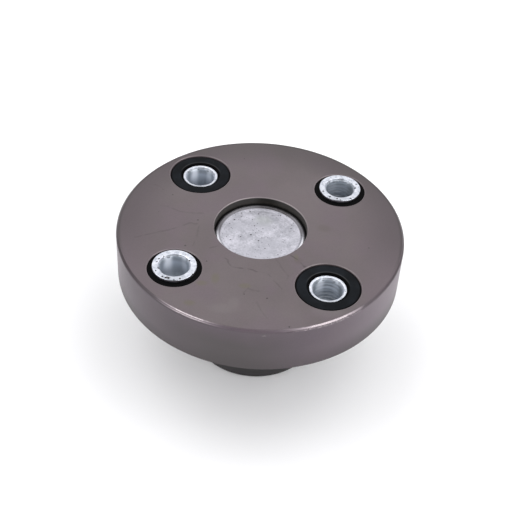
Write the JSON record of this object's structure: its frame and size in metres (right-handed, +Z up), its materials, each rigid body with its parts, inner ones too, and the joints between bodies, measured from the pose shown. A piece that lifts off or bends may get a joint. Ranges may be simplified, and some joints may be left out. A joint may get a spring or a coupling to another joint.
{
  "type": "shaft coupling",
  "caption": "Flanged shaft coupling half: keyed hub under a round disc, rubber-bushed bolt holes with steel sleeves, and a pressed plug closing the bore.",
  "frame": {"origin": "centre of the hub's end face, on the shaft axis, at the base that the coupling stands on", "axes": "+Z up the shaft axis from the hub's end to the disc's face; X runs through the two sleeves whose heads face up, Y through the two whose heads face the hub"},
  "size_m": [0.127, 0.127, 0.0687],
  "materials": {
    "coated_aluminium": "satin brown-grey hard-anodised coating, bright where the rim is worn",
    "plug_steel": "dull grey plated sheet with small dark specks",
    "bush_rubber": "matte black moulded",
    "zinc_steel": "bright bluish-white zinc plating"
  },
  "bodies": {
    "root": {"flange_disc": "coated_aluminium", "hub": "coated_aluminium", "bore_plug": "plug_steel", "rubber_bush_1": "bush_rubber", "rubber_bush_2": "bush_rubber", "rubber_bush_3": "bush_rubber", "rubber_bush_4": "bush_rubber", "pin_sleeve_1": "zinc_steel", "pin_sleeve_2": "zinc_steel", "pin_sleeve_3": "zinc_steel", "pin_sleeve_4": "zinc_steel"}
  },
  "joints": []
}
